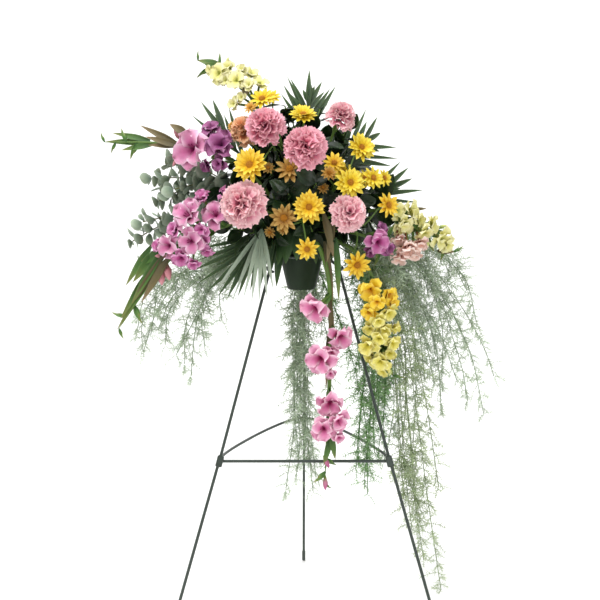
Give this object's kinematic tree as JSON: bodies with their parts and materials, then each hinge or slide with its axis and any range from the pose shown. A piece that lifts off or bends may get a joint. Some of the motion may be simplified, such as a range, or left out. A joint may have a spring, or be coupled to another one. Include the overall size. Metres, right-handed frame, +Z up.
{
  "type": "standing funeral spray",
  "caption": "Standing sympathy spray on a three-legged wire easel: carnations, gladioli and daisies over palm, eucalyptus and trailing asparagus fern, in a pot of wet foam.",
  "frame": {"origin": "middle of the bounding box's base, on the floor between the easel's legs", "axes": "+Z up; -Y towards the viewer, the side that the flowers face; +X to the viewer's right; the rear leg stands at +Y"},
  "size_m": [0.793, 0.6362, 1.1537],
  "materials": {
    "easel_wire": "satin",
    "pot_plastic": "satin",
    "wet_foam": "matte",
    "stem_green": "satin",
    "carnation_petal": "matte",
    "daisy_petal": "matte",
    "gladiolus_orchid": "matte",
    "gladiolus_rose": "matte",
    "gladiolus_cream": "matte",
    "gladiolus_yellow": "matte",
    "palm_leaf": "satin",
    "eucalyptus_leaf": "matte",
    "asparagus_needle": "matte",
    "salal_leaf": "satin"
  },
  "bodies": {
    "root": {"apex_cap": "easel_wire", "asparagus_back": "asparagus_needle", "asparagus_left": "asparagus_needle", "asparagus_right_high": "asparagus_needle", "asparagus_right_low": "asparagus_needle", "brace_bow": "easel_wire", "carnation_back_left_head": "carnation_petal", "carnation_back_left_stem": "stem_green", "carnation_left_head": "carnation_petal", "carnation_left_stem": "stem_green", "carnation_right_head": "carnation_petal", "carnation_right_stem": "stem_green", "carnation_top_front_head": "carnation_petal", "carnation_top_front_stem": "stem_green", "carnation_top_left_head": "carnation_petal", "carnation_top_left_stem": "stem_green", "carnation_top_right_head": "carnation_petal", "carnation_top_right_stem": "stem_green", "crossbar": "easel_wire", "daisy_front": "daisy_petal", "daisy_front_low": "daisy_petal", "daisy_front_shaded": "daisy_petal", "daisy_right_high": "daisy_petal", "daisy_right_inner": "daisy_petal", "daisy_right_middle": "daisy_petal", "daisy_right_outer": "daisy_petal", "daisy_side_high": "daisy_petal", "daisy_side_low": "daisy_petal", "daisy_stem_front": "stem_green", "daisy_stem_right": "stem_green", "daisy_stem_side": "stem_green", "daisy_stem_top": "stem_green", "daisy_top_back": "daisy_petal", "daisy_top_front": "daisy_petal", "daisy_top_left": "daisy_petal", "daisy_top_shaded": "daisy_petal", "eucalyptus": "eucalyptus_leaf", "foam": "wet_foam", "gladiolus_front": "gladiolus_rose", "gladiolus_hanging": "gladiolus_yellow", "gladiolus_left_high": "gladiolus_orchid", "gladiolus_left_low": "gladiolus_orchid", "gladiolus_right": "gladiolus_cream", "gladiolus_side": "gladiolus_orchid", "gladiolus_top": "gladiolus_cream", "leg_clip_left": "easel_wire", "leg_clip_right": "easel_wire", "leg_lower_left": "easel_wire", "leg_lower_right": "easel_wire", "leg_rear": "easel_wire", "leg_upper_left": "easel_wire", "leg_upper_right": "easel_wire", "palm_lower_left": "palm_leaf", "palm_right": "palm_leaf", "palm_top": "palm_leaf", "palm_upper_left": "palm_leaf", "palm_upper_right": "palm_leaf", "pot": "pot_plastic", "pot_ring": "easel_wire", "salal": "salal_leaf"}
  },
  "joints": []
}
